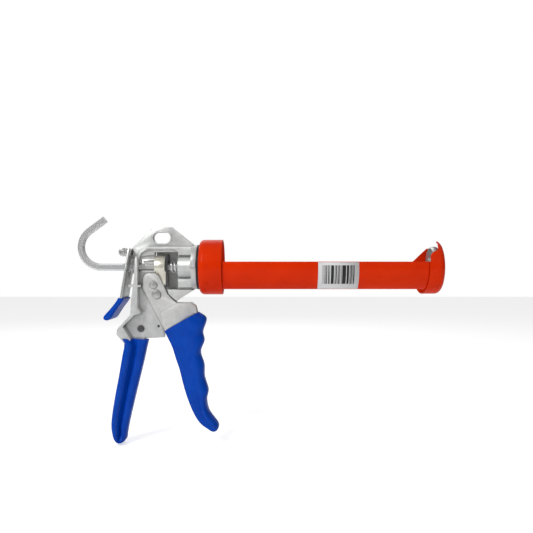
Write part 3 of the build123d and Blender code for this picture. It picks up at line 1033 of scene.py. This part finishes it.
@dataclass
class ReleaseLever:
    """The thumb plate and its dipped end."""

    edge_mm: float = 0.4
    sides: int = 40
    steps: int = 10
    back_mm: Line = ((14.6, 21.9), (13.0, 18.9), (8.0, 12.4), (1.5, 5.2))
    front_mm: Line = ((20.4, 21.3), (18.9, 18.2), (13.4, 10.8), (7.9, 2.0))
    end_run_mm: tuple[float, float] = (-2.9, -3.3)
    end_width: float = 0.93
    low: Vector = field(default_factory=lambda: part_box("release_lever_grip")[0])
    high: Vector = field(default_factory=lambda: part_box("release_lever_grip")[1])

    def at(self, x_mm: float, z_mm: float) -> tuple[float, float]:
        """A point given in millimetres from the dip's lowest back corner of its box."""
        return self.low.x + x_mm * MM, self.low.z + z_mm * MM

    def profile(self, depth: float, fill: float) -> float:
        """Half width of the dip, a flat bar with round edges, whatever the fill."""
        return crown(depth, 0.5, 0.51, 0.14)

    def build_dip(self) -> bpy.types.Object:
        """Loft the vinyl dip along the bent plate."""
        back = [self.at(*point) for point in self.back_mm]
        front = [self.at(*point) for point in self.front_mm]
        half = (self.high.y - self.low.y) / 2
        stations = [
            Station(eased(back, share), eased(front, share), half) for share in even_shares(self.steps)
        ]
        last = stations[-1]
        run = (self.end_run_mm[0] * MM, self.end_run_mm[1] * MM)
        for bulge in TIP_BULGES:
            stations.append(tip_station(last, run, bulge, self.end_width))
        return loft("thumb_dip", stations, self.profile, self.sides)

    def build(self) -> None:
        """Model plate and dip."""
        plate = softened("release_lever", "thumb_plate", self.edge_mm)
        dress(plate, PLATED_STEEL, Body.RELEASE, ["release_lever"])
        dip = self.build_dip()
        modify(dip, "SUBSURF", levels=1, render_levels=1)
        smooth(dip, 60.0)
        dress(dip, BLUE_VINYL, Body.RELEASE, ["release_lever_grip"])


@dataclass
class PushRod:
    """The hooked hexagonal rod with its push plate."""

    edge_mm: float = 0.35

    def build(self) -> None:
        """Model the rod and dress what is fixed to it."""
        rod = merged_copy("push_rod", "hooked_rod", 0.0)
        smooth(rod, 30.0)
        dress(rod, BRIGHT_ZINC, Body.ROD, ["push_rod"])
        for node in ("piston_disc", "piston_washer", "piston_nut"):
            dress(softened(node, f"{node}_pressed", self.edge_mm), PLATED_STEEL, Body.ROD, [node])


@dataclass
class Cradle:
    """The turning cradle: collar, strip, cap, welds and sticker."""

    edge_mm: float = 0.4
    weld_radius_mm: float = 1.9
    weld_wire_mm: float = 0.32
    weld_sunk_mm: float = 0.15
    weld_degrees: tuple[float, float] = (-2.0, 36.0)
    cap_weld_degrees: tuple[float, float] = (-2.0, 40.0)
    collar_weld_share: float = 0.37
    cap_weld_mm: float = 5.2
    cap_weld_step_mm: float = 2.2
    cap_weld_inset_mm: float = 0.3
    bars_above_mm: float = 5.0
    bars_below_mm: float = 3.0
    bars_side_mm: float = 4.0

    def build(self) -> None:
        """Model the painted sheet parts and what is on them."""
        for node in ("rear_collar", "cradle_strip", "front_cap"):
            dress(softened(node, f"{node}_painted", self.edge_mm, 3), ORANGE_ENAMEL, Body.CRADLE, [node])
        low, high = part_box("label_sticker")
        paper = StickerPaper(
            "sticker_paper", "sticker", (0.88, 0.88, 0.88), (0.84, 0.84, 0.84), roughness=0.45,
            bump_height=0.005,
            bar_low=low.z + self.bars_above_mm * MM, bar_high=high.z - self.bars_below_mm * MM,
            bar_left=low.x + self.bars_side_mm * MM, bar_right=high.x - self.bars_side_mm * MM,
        )
        dress(merged_copy("label_sticker", "blank_sticker"), paper, Body.CRADLE, ["label_sticker"])
        collar_low, collar_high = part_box("rear_collar")
        cap_low, cap_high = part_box("front_cap")
        collar_radius = (collar_high.z - collar_low.z) / 2
        cap_radius = (cap_high.y - cap_low.y) / 2
        collar_x = collar_low.x + self.collar_weld_share * (collar_high.x - collar_low.x)
        cap_x = cap_high.x - self.cap_weld_mm * MM
        upper, lower = self.cap_weld_degrees
        for index, (x, radius, degrees) in enumerate((
            (collar_x, collar_radius, self.weld_degrees[0]),
            (collar_x, collar_radius, self.weld_degrees[1]),
            (cap_x, cap_radius - self.cap_weld_inset_mm * MM, upper),
            (cap_x - self.cap_weld_step_mm * MM, cap_radius, lower),
        )):
            self.weld(index, x, radius, degrees)

    def weld(self, index: int, x: float, radius: float, degrees: float) -> None:
        """Model one spot-weld mark: a low ring sunk a little into the sheet.

        Args:
            index: Number of the mark.
            x: Its place along the gun.
            radius: Radius of the sheet that it is on.
            degrees: How far round it is, below the near side.
        """
        deselect()
        turn = math.radians(degrees)
        reach = self.weld_sunk_mm * MM - radius
        bpy.ops.mesh.primitive_torus_add(
            major_radius=self.weld_radius_mm * MM, minor_radius=self.weld_wire_mm * MM,
            major_segments=28, minor_segments=8,
            location=(x, reach * math.cos(turn), reach * math.sin(turn)),
            rotation=(math.radians(90.0) + turn, 0.0, 0.0),
        )
        mark = settle(bpy.context.object, f"weld_mark_{index}")
        smooth(mark, 80.0)
        dress(mark, ORANGE_ENAMEL, Body.CRADLE)


# ---------------------------------------------------------------------------------------------
# studio
# ---------------------------------------------------------------------------------------------


@dataclass(frozen=True)
class Lamp:
    """One soft square lamp: its place and side in metres and its power in watts."""

    name: str
    place: tuple[float, float, float]
    size: float
    power: float


@dataclass
class Studio:
    """Floor, light and camera."""

    camera_distance: float = 0.62
    sensor_mm: float = 36.0
    view_width: float = 0.533
    centre: tuple[float, float] = (0.0685, 0.0006)
    aim_height: float = -0.03
    floor_size: float = 6.0
    floor_gap: float = 0.002
    floor_glow: tuple[float, float] = (0.12, 0.57)
    sky_rise: tuple[float, float] = (-0.2, 0.9)
    sky_light: tuple[float, float] = (0.05, 0.50)
    lamps: tuple[Lamp, ...] = (
        Lamp("key", (-0.55, -0.80, 0.70), 0.45, 7.0),
        Lamp("fill", (0.7, -0.9, 0.5), 0.9, 0.8),
        Lamp("rim", (-0.1, 0.9, 0.7), 0.8, 2.5),
    )

    def build(self) -> None:
        """Set up everything that isn't the gun."""
        self.floor()
        self.sky()
        for lamp in self.lamps:
            self.hang(lamp)
        self.camera()

    def floor(self) -> None:
        """A plain pale floor just under the gun."""
        deselect()
        bpy.ops.mesh.primitive_plane_add(
            size=self.floor_size, location=(0.0, 0.0, cad_box[0][2] - self.floor_gap),
        )
        floor = bpy.context.object
        floor.name = "floor"
        paint = Finish("pale_floor", "", (0.93, 0.93, 0.93), (0.91, 0.91, 0.91), roughness=0.7, specular=0.2)
        surface = Wardrobe.material(paint)
        shader = surface.node_tree.nodes["Principled BSDF"]
        shader.inputs["Emission Color"].default_value = (1.0, 1.0, 1.0, 1.0)
        ray = surface.node_tree.nodes.new("ShaderNodeLightPath")
        glow = mapped(surface.node_tree, ray.outputs["Is Camera Ray"], (0.0, 1.0), self.floor_glow)
        surface.node_tree.links.new(glow, shader.inputs["Emission Strength"])
        floor.data.materials.append(surface)

    def sky(self) -> None:
        """White background, with softer light that falls off towards the horizon."""
        world = bpy.data.worlds.new("soft_studio")
        bpy.context.scene.world = world
        world.use_nodes = True
        tree = world.node_tree
        tree.nodes.clear()
        output = tree.nodes.new("ShaderNodeOutputWorld")
        seen = tree.nodes.new("ShaderNodeBackground")
        seen.inputs["Color"].default_value = (1.0, 1.0, 1.0, 1.0)
        seen.inputs["Strength"].default_value = 1.0
        lit = tree.nodes.new("ShaderNodeBackground")
        place = tree.nodes.new("ShaderNodeTexCoord").outputs["Generated"]
        parts = tree.nodes.new("ShaderNodeSeparateXYZ")
        tree.links.new(place, parts.inputs["Vector"])
        level = mapped(tree, parts.outputs["Z"], self.sky_rise, self.sky_light)
        tree.links.new(level, lit.inputs["Strength"])
        mix = tree.nodes.new("ShaderNodeMixShader")
        ray = tree.nodes.new("ShaderNodeLightPath")
        tree.links.new(ray.outputs["Is Camera Ray"], mix.inputs["Fac"])
        tree.links.new(lit.outputs["Background"], mix.inputs[1])
        tree.links.new(seen.outputs["Background"], mix.inputs[2])
        tree.links.new(mix.outputs["Shader"], output.inputs["Surface"])

    def hang(self, lamp: Lamp) -> None:
        """Add one lamp that looks at the gun.

        Args:
            lamp: The lamp.
        """
        light = bpy.data.lights.new(lamp.name, "AREA")
        light.energy = lamp.power
        light.size = lamp.size
        fixture = bpy.data.objects.new(lamp.name, light)
        bpy.context.scene.collection.objects.link(fixture)
        fixture.location = lamp.place
        aim = Vector((self.centre[0], 0.0, self.aim_height)) - Vector(lamp.place)
        fixture.rotation_euler = aim.to_track_quat("-Z", "Y").to_euler()

    def camera(self) -> None:
        """Look square at the gun's near side."""
        data = bpy.data.cameras.new("camera")
        data.sensor_width = self.sensor_mm
        data.lens = self.sensor_mm * self.camera_distance / self.view_width
        data.clip_end = 20.0
        camera = bpy.data.objects.new("camera", data)
        bpy.context.scene.collection.objects.link(camera)
        camera.location = (self.centre[0], -self.camera_distance, self.centre[1])
        camera.rotation_euler = (math.radians(90.0), 0.0, 0.0)
        bpy.context.scene.camera = camera
        bpy.context.scene.view_settings.view_transform = "Standard"


def main() -> None:
    """Build the studio, then every sub-assembly."""
    Studio().build()
    for assembly in (Casting(), FixedHandle(), Trigger(), DriveTrain(), ReleaseLever(), PushRod(), Cradle()):
        log.info("building %s", type(assembly).__name__)
        assembly.build()


def plain(box: Sequence[Sequence[float]]) -> list[list[float]]:
    """A box as plain lists of numbers."""
    return [[float(value) for value in corner] for corner in box]


if __name__ == "__main__":
    main()
